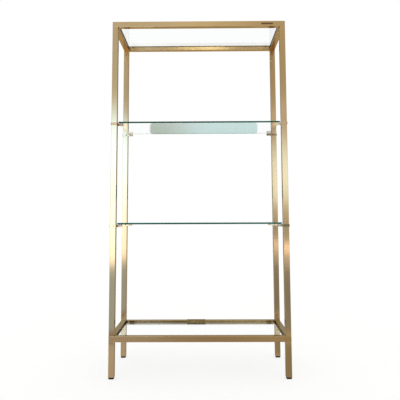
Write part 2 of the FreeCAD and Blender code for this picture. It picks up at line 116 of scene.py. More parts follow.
class Bench:
    """A material's node sheet, with short ways to lay and join its nodes."""

    def __init__(self, name: str) -> None:
        """Starts an empty sheet.

        Args:
            name: the material's name.
        """
        self.material = bpy.data.materials.new(name)
        self.material.use_nodes = True
        self.tree = self.material.node_tree
        self.tree.nodes.clear()
        self.output = self.lay("OutputMaterial")

    def lay(self, kind: str, settings: dict | None = None,
            sockets: dict | None = None) -> bpy.types.Node:
        """Adds a node.

        Args:
            kind: the node's type, without its ShaderNode beginning.
            settings: the node's own properties.
            sockets: values or other nodes' outputs for its inputs, by name or number.

        Returns:
            The new node.
        """
        node = self.tree.nodes.new("ShaderNode" + kind)
        for key, value in (settings or {}).items():
            setattr(node, key, value)
        for key, value in (sockets or {}).items():
            self.feed(node.inputs[key], value)
        return node

    def feed(self, socket: bpy.types.NodeSocket, value: object) -> None:
        """Links or sets one input.

        Args:
            socket: the input.
            value: an output socket to link, or a plain value.
        """
        if isinstance(value, bpy.types.NodeSocket):
            self.tree.links.new(value, socket)
        else:
            socket.default_value = value

    def place(self) -> bpy.types.NodeSocket:
        """The object's own coordinates, in metres."""
        return self.lay("TexCoord").outputs["Object"]

    def noise(self, size: Triple, detail: float = 2.0, roughness: float = 0.5,
              shift: Triple = (0.0, 0.0, 0.0)) -> bpy.types.NodeSocket:
        """A cloud of values from 0 to 1, with its own size along each axis.

        Args:
            size: the clouds' size along X, Y and Z, in metres.
            detail: how many finer layers it has.
            roughness: how strong the finer layers are.
            shift: moves the pattern, in metres.

        Returns:
            The noise's factor.
        """
        scaled = self.lay("Mapping", None, {
            "Vector": self.place(), "Location": shift, "Scale": tuple(1.0 / s for s in size)})
        cloud = self.lay("TexNoise", {"noise_dimensions": "3D"}, {
            "Vector": scaled.outputs[0], "Scale": 1.0, "Detail": detail, "Roughness": roughness})
        return cloud.outputs["Fac"]

    def spread(self, value: bpy.types.NodeSocket, source: Span, target: Span = FULL,
               smooth: bool = False) -> bpy.types.NodeSocket:
        """Maps one range of values to another, and stops at its ends.

        Args:
            value: the input.
            source: the range that is read.
            target: the range that is given.
            smooth: eases both ends.

        Returns:
            The mapped value.
        """
        kind = "SMOOTHSTEP" if smooth else "LINEAR"
        node = self.lay("MapRange", {"interpolation_type": kind, "clamp": True}, {
            "Value": value, "From Min": source[0], "From Max": source[1],
            "To Min": target[0], "To Max": target[1]})
        return node.outputs[0]

    def count(self, operation: str, first: object, second: object = 0.0) -> bpy.types.NodeSocket:
        """Calculates with one or two numbers.

        Args:
            operation: the Math node's operation.
            first: the first number.
            second: the second number.

        Returns:
            The result.
        """
        node = self.lay("Math", {"operation": operation}, {0: first, 1: second})
        return node.outputs[0]

    def blend(self, amount: object, first: object, second: object) -> bpy.types.NodeSocket:
        """Mixes two colours.

        Args:
            amount: how much of the second, from 0 to 1.
            first: the first colour.
            second: the second colour.

        Returns:
            The mixed colour.
        """
        node = self.lay("Mix", {"data_type": "RGBA"}, {0: amount, 6: first, 7: second})
        return node.outputs[2]

    def split(self, vector: bpy.types.NodeSocket) -> tuple[bpy.types.NodeSocket, ...]:
        """Takes a vector apart.

        Args:
            vector: the vector.

        Returns:
            Its X, Y and Z.
        """
        return tuple(self.lay("SeparateXYZ", None, {0: vector}).outputs)

    def bumped(self, height: bpy.types.NodeSocket, strength: float, depth: float,
               normal: bpy.types.NodeSocket | None = None) -> bpy.types.NodeSocket:
        """Bends the normal by a noise.

        Args:
            height: the noise.
            strength: how much of the bump shows, from 0 to 1.
            depth: the bump's depth, in metres.
            normal: the normal to start from, if it isn't the surface's own.

        Returns:
            The bent normal.
        """
        sockets = {"Strength": strength, "Distance": depth, "Height": height}
        if normal is not None:
            sockets["Normal"] = normal
        return self.lay("Bump", None, sockets).outputs[0]

    def rounded(self, radius: float) -> bpy.types.NodeSocket:
        """The normal, softened at edges.

        Args:
            radius: how far from an edge it turns.

        Returns:
            The softened normal.
        """
        return self.lay("Bevel", {"samples": 4}, {"Radius": radius}).outputs[0]

    def clear_in_shadow(self, shader: bpy.types.NodeSocket, tint: Colour) -> bpy.types.NodeSocket:
        """Lets light pass a clear body without refraction where it casts a shadow.

        Args:
            shader: the body's own shader.
            tint: what the body lets through.

        Returns:
            The mixed shader.
        """
        through = self.lay("BsdfTransparent", None, {"Color": tint})
        lamp = self.lay("LightPath").outputs["Is Shadow Ray"]
        return self.lay("MixShader", None, {0: lamp, 1: shader, 2: through.outputs[0]}).outputs[0]

    def finish(self, shader: bpy.types.NodeSocket) -> bpy.types.Material:
        """Joins the shader to the output and hands the material over.

        Args:
            shader: the surface shader.

        Returns:
            The material.
        """
        self.feed(self.output.inputs["Surface"], shader)
        return self.material


# ---------------------------------------------------------------- finishes

@dataclass(frozen=True)
class Stain:
    """Painted shade or painted light on the tubes' inward faces, between two heights and two places across.
    """

    foot: float
    head: float
    colour: Colour
    across: Span = (-FAR, FAR)
    softness: float = 0.6 * MM


@dataclass(frozen=True)
class SatinBrass:
    """Brass tube, brushed along its length and lacquered."""

    name: str
    grain: Grain
    tint: Colour = (0.445, 0.305, 0.141, 1.0)
    dulled: Colour = (0.392, 0.262, 0.114, 1.0)
    rubbed: Colour = (0.520, 0.375, 0.195, 1.0)
    # Grazing tints by facing: the sides' tint, and lighter ones painted for faces that look up and for
    # undersides, as painted light.
    grazing: Colour = (0.40, 0.36, 0.30, 1.0)
    level_grazing: Colour = (0.50, 0.50, 0.46, 1.0)
    underside_grazing: Colour = (0.62, 0.46, 0.36, 1.0)
    # Bands of painted shade or painted light on the inward faces.
    stains: tuple[Stain, ...] = ()
    roughness: float = 0.15
    pull: float = 0.85
    line_width: float = 0.5 * MM
    line_length: float = 90 * MM
    cloud: float = 160 * MM
    cloud_stretch: float = 2.0
    cloud_shift: Triple = (0.3, 1.7, 0.9)
    edge: float = 1.4 * MM
    bump_strength: float = 0.05
    bump_depth: float = 0.02 * MM
    wear: Span = (0.995, 0.93)
    worn: float = 0.8
    ageing: Span = (0.42, 0.68)
    aged_most: float = 0.75
    brushed_most: float = 0.15
    line_roughness: float = 0.012
    rough_clouds: Span = (0.35, 0.7)
    smoother: float = 0.01
    rougher: float = 0.02
    facing_up: Span = (0.4, 0.8)
    facing_down: Span = (-0.4, -0.8)
    facing_in: Span = (-0.10, -0.15)
    stain_clouds: Span = (0.3, 0.6)
    stain_cover: Span = (0.93, 1.0)

    def make(self) -> bpy.types.Material:
        """Lays the nodes.

        Returns:
            The material.
        """
        bench = Bench(self.name)
        along = [axis == self.grain.value for axis in "XYZ"]
        lines = tuple(self.line_length if lengthwise else self.line_width for lengthwise in along)
        clouds = tuple(self.cloud * (self.cloud_stretch if lengthwise else 1.0) for lengthwise in along)
        line = bench.noise(lines, detail=3.0, roughness=0.6)
        cloud = bench.noise(clouds, detail=4.0, roughness=0.55, shift=self.cloud_shift)
        rounded = bench.rounded(self.edge)
        plain = bench.lay("NewGeometry").outputs["Normal"]
        turned = bench.lay("VectorMath", {"operation": "DOT_PRODUCT"}, {0: rounded, 1: plain})
        wear = bench.spread(turned.outputs["Value"], self.wear, (0.0, self.worn))
        aged = bench.blend(bench.spread(cloud, self.ageing, (0.0, self.aged_most)), self.tint, self.dulled)
        brushed = bench.blend(bench.spread(line, CORE, (0.0, self.brushed_most)), aged, self.rubbed)
        colour = bench.blend(wear, brushed, self.rubbed)
        upward = bench.split(plain)[2]
        # Lays each band of painted shade or painted light over the colour.
        for shading in self.stains:
            colour = bench.blend(self.stained(bench, shading, plain, cloud), colour, shading.colour)
        # The grazing tint is painted by facing: lighter on faces that look up or down than on the sides, as
        # painted light.
        grazing = bench.blend(bench.spread(upward, self.facing_up), self.grazing, self.level_grazing)
        grazing = bench.blend(bench.spread(upward, self.facing_down), grazing, self.underside_grazing)
        lined = bench.spread(line, WIDE, (-self.line_roughness, self.line_roughness))
        clouded = bench.spread(cloud, self.rough_clouds,
                               (self.roughness - self.smoother, self.roughness + self.rougher))
        normal = bench.bumped(line, self.bump_strength, self.bump_depth, rounded)
        around = bench.lay("Tangent", {"direction_type": "RADIAL", "axis": self.grain.value})
        metal = bench.lay("BsdfPrincipled", None, {
            "Base Color": colour, "Metallic": 1.0, "Roughness": bench.count("ADD", lined, clouded),
            "Specular Tint": grazing, "Anisotropic": self.pull, "Tangent": around.outputs[0],
            "Normal": normal})
        return bench.finish(metal.outputs[0])

    def stained(self, bench: Bench, shading: Stain, plain: bpy.types.NodeSocket,
                cloud: bpy.types.NodeSocket) -> bpy.types.NodeSocket:
        """Finds how far a band of painted shade or painted light covers each point.

        Args:
            bench: the material's node sheet.
            shading: the band of painted shade or painted light.
            plain: the face's own normal.
            cloud: the noise that varies its cover.

        Returns:
            Its cover, from 0 to 1.
        """
        place = bench.place()
        inward = bench.lay("VectorMath", {"operation": "DOT_PRODUCT"}, {0: place, 1: plain})
        across, _, up = bench.split(place)
        band = 1.0
        for part, (low, high) in ((up, (shading.foot, shading.head)), (across, shading.across)):
            inside = bench.count("MULTIPLY", bench.spread(part, (low, low + shading.softness)),
                                 bench.spread(part, (high, high - shading.softness)))
            band = bench.count("MULTIPLY", inside, band)
        facing = bench.count("MULTIPLY", bench.spread(cloud, self.stain_clouds, self.stain_cover),
                             bench.spread(inward.outputs["Value"], self.facing_in))
        return bench.count("MULTIPLY", band, facing)


@dataclass(frozen=True)
class Rolling:
    """What every rolled strip shares: fine lines, cloudy spots and softly broken edges."""

    grain: Triple = (30 * MM, 0.6 * MM, 0.6 * MM)
    spot: float = 12 * MM
    edge: float = 0.5 * MM
    bump_strength: float = 0.15
    bump_depth: float = 0.02 * MM

    def lay(self, bench: Bench) -> tuple[bpy.types.NodeSocket, ...]:
        """Lays the shared nodes.

        Args:
            bench: the material's node sheet.

        Returns:
            The lines' noise, the spots' noise and the bumped normal.
        """
        line = bench.noise(self.grain, detail=2.0)
        cloud = bench.noise((self.spot, self.spot, self.spot), detail=4.0, roughness=0.6)
        normal = bench.bumped(line, self.bump_strength, self.bump_depth, bench.rounded(self.edge))
        return line, cloud, normal


@dataclass(frozen=True)
class StripMetal:
    """Sheet or strip metal, rolled and lightly rubbed; below a height it may be painted dark, as shade."""

    name: str
    tint: Colour
    dulled: Colour
    roughness: float
    grazing: Colour = WHITE
    grime_below: float | None = None
    grime: Colour = (0.016, 0.010, 0.005, 1.0)
    grime_cover: float = 0.97
    grime_fade: float = 1.0 * MM
    smoother: float = 0.03
    rougher: float = 0.05

    def make(self) -> bpy.types.Material:
        """Lays the nodes.

        Returns:
            The material.
        """
        bench = Bench(self.name)
        line, cloud, normal = Rolling().lay(bench)
        colour = bench.blend(bench.spread(cloud, CORE), self.tint, self.dulled)
        # Below the given height the colour is painted dark, as shade.
        if self.grime_below is not None:
            height = bench.split(bench.place())[2]
            low = bench.spread(height, (self.grime_below + self.grime_fade, self.grime_below),
                               (0.0, self.grime_cover))
            colour = bench.blend(low, colour, self.grime)
        lined = bench.spread(line, WIDE, (-self.smoother, self.smoother))
        clouded = bench.spread(cloud, WIDE, (self.roughness - self.smoother, self.roughness + self.rougher))
        metal = bench.lay("BsdfPrincipled", None, {
            "Base Color": colour, "Metallic": 1.0, "Roughness": bench.count("ADD", lined, clouded),
            "Specular Tint": self.grazing, "Normal": normal})
        return bench.finish(metal.outputs[0])


@dataclass(frozen=True)
class ClipBrass:
    """Thin satin strip; the collar round the post and the arm behind it may carry different painted light
    or shade.
    """

    collar: Patina
    arm: Patina
    arm_plane: float
    roughness: float = 0.17
    smoother: float = 0.03
    rougher: float = 0.06
    change: float = 0.5 * MM

    def make(self) -> bpy.types.Material:
        """Lays the nodes.

        Returns:
            The material.
        """
        bench = Bench(f"clip_brass_{self.collar.name.lower()}_{self.arm.name.lower()}")
        _, cloud, normal = Rolling().lay(bench)
        spots = bench.spread(cloud, CORE)
        collar = bench.blend(spots, *self.collar.value)
        arm = bench.blend(spots, *self.arm.value)
        depth = bench.count("ABSOLUTE", bench.split(bench.place())[1])
        on_arm = bench.spread(depth, (self.arm_plane, self.arm_plane - self.change))
        rough = bench.spread(cloud, WIDE, (self.roughness - self.smoother, self.roughness + self.rougher))
        metal = bench.lay("BsdfPrincipled", None, {
            "Base Color": bench.blend(on_arm, collar, arm), "Metallic": 1.0, "Normal": normal,
            "Roughness": rough})
        return bench.finish(metal.outputs[0])


@dataclass(frozen=True)
class BrownLacquer:
    """The small plate's brown lacquer."""

    tint: Colour = (0.125, 0.060, 0.014, 1.0)
    rubbed: Colour = (0.175, 0.095, 0.030, 1.0)
    spot: Triple = (5 * MM, 2 * MM, 2 * MM)
    rubbing: Span = (0.45, 0.75)
    roughness: Span = (0.3, 0.45)
    gloss: float = 0.15
    coat: float = 0.1
    coat_roughness: float = 0.15
    bump_strength: float = 0.2
    bump_depth: float = 0.03 * MM

    def make(self) -> bpy.types.Material:
        """Lays the nodes.

        Returns:
            The material.
        """
        bench = Bench("brown_lacquer")
        cloud = bench.noise(self.spot, detail=5.0, roughness=0.7)
        lacquer = bench.lay("BsdfPrincipled", None, {
            "Base Color": bench.blend(bench.spread(cloud, self.rubbing), self.tint, self.rubbed),
            "Roughness": bench.spread(cloud, WIDE, self.roughness), "Specular IOR Level": self.gloss,
            "Coat Weight": self.coat, "Coat Roughness": self.coat_roughness,
            "Normal": bench.bumped(cloud, self.bump_strength, self.bump_depth)})
        return bench.finish(lacquer.outputs[0])


@dataclass(frozen=True)
class MouldedPlastic:
    """Fine-grained black plastic, a little scuffed."""

    tint: Colour = (0.0035, 0.0032, 0.0030, 1.0)
    scuffed: Colour = (0.014, 0.012, 0.010, 1.0)
    grain: Triple = (0.5 * MM, 0.5 * MM, 0.5 * MM)
    scuff: Triple = (9 * MM, 9 * MM, 3 * MM)
    scuffing: Span = (0.55, 0.8)
    roughness: Span = (0.45, 0.65)
    gloss: float = 0.10
    bump_strength: float = 0.25
    bump_depth: float = 0.05 * MM

    def make(self) -> bpy.types.Material:
        """Lays the nodes.

        Returns:
            The material.
        """
        bench = Bench("black_plastic")
        grain = bench.noise(self.grain, detail=2.0)
        scuff = bench.noise(self.scuff, detail=6.0, roughness=0.7)
        plastic = bench.lay("BsdfPrincipled", None, {
            "Base Color": bench.blend(bench.spread(scuff, self.scuffing), self.tint, self.scuffed),
            "Roughness": bench.spread(scuff, WIDE, self.roughness), "Specular IOR Level": self.gloss,
            "Normal": bench.bumped(grain, self.bump_strength, self.bump_depth)})
        return bench.finish(plastic.outputs[0])


@dataclass(frozen=True)
class ClearGlass:
    """Float glass: clear through its face, with ground edges whose green differs by height.

    The edges turn paler toward the right and show painted glints, reflections, in cloudy spots; a pane's
    back edge may be painted light in a colour of its own.
    """

    name: str = "shelf_glass"
    face: Colour = WHITE
    shadow_tint: Colour = (0.95, 0.98, 0.97, 1.0)
    upper_edge: Colour = (0.002, 0.044, 0.017, 1.0)
    lower_edge: Colour = (0.003, 0.090, 0.060, 1.0)
    pale_edge: Colour = (0.022, 0.155, 0.118, 1.0)
    edge_gloss: Colour = (0.03, 0.30, 0.20, 1.0)
    back_edge: Colour | None = None
    turn: Span = (0.90, 1.15)
    ior: float = 1.52
    depth_tint: Colour = (0.04, 0.60, 0.56, 1.0)
    depth_density: float = 2.5
    level_face: Span = (0.80, 0.97)
    back_face: Span = (0.7, 0.9)
    back_half: Span = (0.0, 1.0 * MM)
    cloud: Triple = (110 * MM, 60 * MM, 60 * MM)
    clouds: Span = (0.55, 0.80)
    pale_side: Span = (-0.10, 0.45)
    pale_most: float = 0.45
    pale_clouds: float = 0.35
    smear: Triple = (60 * MM, 60 * MM, 60 * MM)
    smears: Span = (0.5, 0.8)
    smeared: float = 0.015
    edge_roughness: float = 0.30

    def make(self) -> bpy.types.Material:
        """Lays the nodes.

        Returns:
            The material.
        """
        bench = Bench(self.name)
        normal = bench.split(bench.lay("NewGeometry").outputs["Normal"])
        edge = bench.spread(bench.count("ABSOLUTE", normal[2]), self.level_face, EBB)
        across, deep, up = bench.split(bench.place())
        cloud = bench.noise(self.cloud, detail=3.0)
        green = bench.blend(bench.spread(up, self.turn), self.lower_edge, self.upper_edge)
        # Paler toward the right, and with painted glints, reflections in the edge, in cloudy spots.
        side = bench.spread(across, self.pale_side, (0.0, self.pale_most), smooth=True)
        fade = bench.count("ADD", side, bench.spread(cloud, self.clouds, (0.0, self.pale_clouds)))
        varied = bench.blend(fade, green, self.pale_edge)
        # The back edge is painted light.
        if self.back_edge is not None:
            facing = bench.spread(bench.count("ABSOLUTE", normal[1]), self.back_face)
            behind = bench.count("MULTIPLY", facing, bench.spread(deep, self.back_half))
            varied = bench.blend(behind, varied, self.back_edge)
        colour = bench.blend(edge, self.face, varied)
        smear = bench.noise(self.smear, detail=5.0, roughness=0.65)
        rough = bench.count("ADD", bench.spread(smear, self.smears, (0.0, self.smeared)),
                            bench.count("MULTIPLY", edge, self.edge_roughness))
        clear = bench.spread(edge, FULL, EBB)
        sheen = bench.blend(edge, self.face, self.edge_gloss)
        glass = bench.lay("BsdfPrincipled", None, {
            "Base Color": colour, "Roughness": rough, "IOR": self.ior, "Transmission Weight": clear,
            "Specular Tint": sheen})
        depth = bench.lay("VolumeAbsorption", None, {
            "Color": self.depth_tint, "Density": self.depth_density})
        bench.feed(bench.output.inputs["Volume"], depth.outputs[0])
        return bench.finish(bench.clear_in_shadow(glass.outputs[0], self.shadow_tint))


@dataclass(frozen=True)
class ClearVinyl:
    """Soft clear vinyl, slightly yellowed and cloudy."""

    tint: Colour = (0.96, 0.94, 0.86, 1.0)
    cloud: Triple = (3 * MM, 3 * MM, 3 * MM)
    roughness: Span = (0.08, 0.25)
    ior: float = 1.5
    bump_strength: float = 0.2
    bump_depth: float = 0.1 * MM

    def make(self) -> bpy.types.Material:
        """Lays the nodes.

        Returns:
            The material.
        """
        bench = Bench("clear_vinyl")
        cloud = bench.noise(self.cloud, detail=4.0)
        vinyl = bench.lay("BsdfPrincipled", None, {
            "Base Color": self.tint, "Roughness": bench.spread(cloud, WIDE, self.roughness),
            "IOR": self.ior, "Transmission Weight": 1.0,
            "Normal": bench.bumped(cloud, self.bump_strength, self.bump_depth)})
        return bench.finish(bench.clear_in_shadow(vinyl.outputs[0], self.tint))


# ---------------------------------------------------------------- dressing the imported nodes

def dress(names: Iterable[str], material: bpy.types.Material) -> None:
    """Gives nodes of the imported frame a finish.

    Args:
        names: the nodes.
        material: their finish.
    """
    for name in names:
        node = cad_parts[name]
        for slot in node.material_slots:
            slot.material = material
        LOG.info("%s wears %s", name, material.name)


@dataclass
class TubeFrame:
    """The two mitred frames, the posts and the legs."""

    warm_tint: Colour = (0.420, 0.268, 0.112, 1.0)
    warm_dulled: Colour = (0.372, 0.232, 0.092, 1.0)
    # Painted shade and painted light for the rails' inward faces: dark shade in the gaps by the panes and
    # under the strip, a browner shade above the base pane (lighter right of the strip on the front and back
    # rails), and a pale grey-green painted light below it on the front and back rails.
    shade: Colour = (0.030, 0.020, 0.010, 1.0)
    tarnish: Colour = (0.125, 0.075, 0.024, 1.0)
    light_tarnish: Colour = (0.250, 0.165, 0.065, 1.0)
    green_light: Colour = (0.52, 0.53, 0.43, 1.0)

    def build(self) -> None:
        """Brushes each tube along its length.

        The bottom rails are warmer, and all rails carry painted shade, and the front and back bottom rails
        painted light, where the panes and the strip meet them.
        """
        uprights = SatinBrass("satin_brass_posts", Grain.UPRIGHT).make()
        dress((f"{part}_{corner.words}" for part in ("post", "leg") for corner in Corner), uprights)
        runs = ((Grain.ACROSS, ("front", "back"), self.green_light, self.light_tarnish),
                (Grain.DEEP, ("left", "right"), self.shade, self.tarnish))
        pane_foot, rail_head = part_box("top_glass")[0][2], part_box("top_rail_front")[1][2]
        foot, head = (corner[2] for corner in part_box("bottom_rail_front"))
        base_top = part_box("base_glass")[1][2]
        strip_left, strip_right = (corner[0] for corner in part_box("glass_retainer"))
        # Bands of painted shade, and on the front and back bottom rails painted light, on the inward faces.
        beside_top = Stain(pane_foot, rail_head, self.shade)
        above_base = Stain(base_top, head, self.tarnish)
        under_strip = Stain(foot, base_top, self.shade, across=(strip_left, strip_right))
        for grain, sides, below, right_inner_shade in runs:
            word = grain.name.lower()
            above_right = Stain(base_top, head, right_inner_shade, across=(strip_right, FAR))
            below_base = Stain(foot, base_top, below)
            high = SatinBrass(f"satin_brass_top_{word}", grain, stains=(beside_top,)).make()
            low = SatinBrass(f"satin_brass_bottom_{word}", grain, tint=self.warm_tint,
                             dulled=self.warm_dulled,
                             stains=(above_base, above_right, below_base, under_strip)).make()
            dress((f"top_rail_{side}" for side in sides), high)
            dress((f"bottom_rail_{side}" for side in sides), low)


@dataclass
class Fastenings:
    """The spigots inside the posts, and every screw and peg."""

    steel: StripMetal = StripMetal(
        "dark_steel", (0.060, 0.055, 0.050, 1.0), (0.035, 0.032, 0.030, 1.0), roughness=0.38)
    zinc: StripMetal = StripMetal(
        "zinc_steel", (0.42, 0.42, 0.43, 1.0), (0.34, 0.34, 0.36, 1.0), roughness=0.34)

    def build(self) -> None:
        """Dresses the hidden spigots and the small fastenings."""
        spigots = (f"{end}_spigot_{corner.words}" for end in ("top", "bottom") for corner in Corner)
        dress(spigots, self.zinc.make())
        dress(("set_screws_top", "set_screws_bottom", "clip_screws_lower", "clip_screws_upper",
               "top_pegs", "bottom_pegs"), self.steel.make())


@dataclass
class ShelfClips:
    """The strip clips round the posts, and the soft clear sleeves on their arms."""

    sleeve_length: float = 16.0 * MM
    sleeve_wall: float = 0.62 * MM
    sleeve_rounding: float = 0.55 * MM
    sleeve_bend_steps: int = 5
    sleeve_cuts: int = 2
    sleeve_sides: float = 1.6 * MM
    squarely: float = 0.5
    lip_width: float = 0.18 * MM
    lip_steps: int = 3
    lip_angle: float = math.radians(50.0)
    smooth_angle: float = math.radians(40.0)
    strip: float = 2.5 * MM
    arm_margin: float = 0.2 * MM
    # Painted light or shade for each clip's collar and arm, by level and corner.
    patinas: dict[tuple[Level, Corner], tuple[Patina, Patina]] = field(default_factory=lambda: {
        (Level.UPPER, Corner.FRONT_LEFT): (Patina.ROSY, Patina.DARK),
        (Level.UPPER, Corner.FRONT_RIGHT): (Patina.PLAIN, Patina.PALE),
        (Level.UPPER, Corner.BACK_LEFT): (Patina.PLAIN, Patina.PLAIN),
        (Level.UPPER, Corner.BACK_RIGHT): (Patina.PLAIN, Patina.DIM),
        (Level.LOWER, Corner.FRONT_LEFT): (Patina.PLAIN, Patina.DARK),
        (Level.LOWER, Corner.FRONT_RIGHT): (Patina.KHAKI, Patina.PALE),
        (Level.LOWER, Corner.BACK_LEFT): (Patina.PLAIN, Patina.PLAIN),
        (Level.LOWER, Corner.BACK_RIGHT): (Patina.PLAIN, Patina.PALE),
    })

    def build(self) -> None:
        """Dresses the clips, then makes and fits the sleeves."""
        finishes: dict[tuple[Patina, Patina], bpy.types.Material] = {}
        for (level, corner), pair in self.patinas.items():
            name = f"clip_{level.value}_{corner.words}"
            if pair not in finishes:
                arm_plane = max(abs(corner[1]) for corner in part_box(name))
                finishes[pair] = ClipBrass(*pair, arm_plane=arm_plane - self.collar_depth()).make()
            dress((name,), finishes[pair])
        vinyl = ClearVinyl().make()
        for level in Level:
            self.fit_sleeves(level, vinyl)

    def collar_depth(self) -> float:
        """From the collar's outer face to just before the arm's far face."""
        low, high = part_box("post_front_left")
        return (high[1] - low[1]) + self.strip - self.arm_margin

    def fit_sleeves(self, level: Level, vinyl: bpy.types.Material) -> None:
        """Makes one sleeve, sets a copy on each arm of a level and joins them.

        Args:
            level: the shelf's level.
            vinyl: the sleeves' finish.
        """
        low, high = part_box(f"cushions_{level.value}")
        first = self.one_sleeve(level, (low, high))
        sleeves = [first]
        for shift_x in (0.0, low[0] + self.sleeve_length - high[0]):
            for shift_y in (0.0, low[1] + self.sleeve_depth() - high[1]):
                if (shift_x, shift_y) == (0.0, 0.0):
                    continue
                bpy.ops.object.select_all(action="DESELECT")
                first.select_set(True)
                bpy.context.view_layer.objects.active = first
                bpy.ops.object.duplicate(linked=False)
                bpy.ops.transform.translate(value=(shift_x, shift_y, 0.0))
                bpy.ops.object.transform_apply(location=True, rotation=True, scale=True)
                sleeves.append(bpy.context.object)
        bpy.ops.object.select_all(action="DESELECT")
        for sleeve in sleeves:
            sleeve.select_set(True)
        bpy.context.view_layer.objects.active = first
        bpy.ops.object.join()
        first.data.materials.clear()
        first.data.materials.append(vinyl)
        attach(first, "frame")
        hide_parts(f"cushions_{level.value}")
        LOG.info("%s are on their arms", first.name)

    def sleeve_depth(self) -> float:
        """The sleeve's whole width across the arm: the strip and a soft wall on each side."""
        return self.strip + self.sleeve_sides

    def one_sleeve(self, level: Level, box: tuple[Triple, Triple]) -> bpy.types.Object:
        """Bends a soft channel over the arm at the back right.

        Args:
            level: the shelf's level.
            box: the box that all the level's sleeves share.

        Returns:
            The sleeve, finished at its place.
        """
        low, high = box
        length, depth, rise = self.sleeve_length, self.sleeve_depth(), high[2] - low[2]
        middle = (high[0] - length / 2.0, high[1] - depth / 2.0, (low[2] + high[2]) / 2.0)
        bpy.ops.object.select_all(action="DESELECT")
        bpy.ops.mesh.primitive_cube_add(size=1.0, location=middle)
        sleeve = bpy.context.object
        sleeve.name = f"soft_sleeves_{level.value}"
        sleeve.scale = (length, depth, rise)
        bpy.ops.object.transform_apply(location=True, rotation=True, scale=True)
        bpy.ops.object.mode_set(mode="EDIT")
        bpy.ops.mesh.select_mode(type="FACE")
        bpy.ops.mesh.select_all(action="DESELECT")
        sheet = bmesh.from_edit_mesh(sleeve.data)
        for face in sheet.faces:
            face.select_set(face.normal.z < -self.squarely or abs(face.normal.x) > self.squarely)
        bmesh.update_edit_mesh(sleeve.data)
        bpy.ops.mesh.delete(type="FACE")
        bpy.ops.mesh.select_mode(type="EDGE")
        bpy.ops.mesh.select_all(action="DESELECT")
        sheet = bmesh.from_edit_mesh(sleeve.data)
        for edge in sheet.edges:
            ends = [corner.co for corner in edge.verts]
            along = abs(ends[0].x - ends[1].x) > length / 2.0
            edge.select_set(along and min(end.z for end in ends) > middle[2])
        bmesh.update_edit_mesh(sleeve.data)
        bpy.ops.mesh.bevel(offset=self.sleeve_rounding, segments=self.sleeve_bend_steps)
        bpy.ops.mesh.select_all(action="SELECT")
        bpy.ops.mesh.subdivide(number_cuts=self.sleeve_cuts)
        bpy.ops.object.mode_set(mode="OBJECT")
        wall = sleeve.modifiers.new("wall", "SOLIDIFY")
        wall.thickness = self.sleeve_wall
        wall.offset = -1.0
        wall.use_even_offset = True
        lip = sleeve.modifiers.new("lip", "BEVEL")
        lip.width = self.lip_width
        lip.segments = self.lip_steps
        lip.limit_method = "ANGLE"
        lip.angle_limit = self.lip_angle
        for modifier in ("wall", "lip"):
            bpy.ops.object.modifier_apply(modifier=modifier)
        bpy.ops.object.shade_smooth_by_angle(angle=self.smooth_angle)
        return sleeve


@dataclass
class Panes:
    """The glass top, both shelves and the base pane.

    Each inset pane is listed with its index of refraction and, where it has one, the colour of the painted
    light on its back edge.
    """

    shelves: tuple[str, ...] = ("upper_shelf_glass", "lower_shelf_glass")
    shaded: Colour = (0.001, 0.010, 0.007, 1.0)
    shaded_gloss: Colour = (0.01, 0.03, 0.02, 1.0)
    # The base pane's back edge is painted light.
    inset: tuple[tuple[str, float, Colour | None], ...] = (
        ("top_glass", 1.18, None), ("base_glass", 1.52, (0.42, 0.38, 0.26, 1.0)))

    def build(self) -> None:
        """Dresses the panes; those inside a frame have edges in its shade."""
        dress(self.shelves, ClearGlass().make())
        for pane, ior, back_edge in self.inset:
            dress((pane,), ClearGlass(
                f"{pane}_inset", upper_edge=self.shaded, lower_edge=self.shaded, pale_edge=self.shaded,
                edge_gloss=self.shaded_gloss, back_edge=back_edge, ior=ior).make())


@dataclass
class Trim:
    """The feet, the retainer over the bottom back rail and the small bare plate."""

    def build(self) -> None:
        """Dresses the small parts; the retainer is painted dark, as shade, below the top of the base pane,
        where the pane meets it.
        """
        bronze = StripMetal(
            "bronze_sheet", (0.225, 0.150, 0.058, 1.0), (0.175, 0.112, 0.040, 1.0), roughness=0.27,
            grazing=(0.50, 0.42, 0.28, 1.0), grime_below=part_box("base_glass")[1][2])
        dress(("glass_retainer",), bronze.make())
        dress(("blank_plate",), BrownLacquer().make())
        dress((f"foot_{corner.words}" for corner in Corner), MouldedPlastic().make())


# ---------------------------------------------------------------- studio

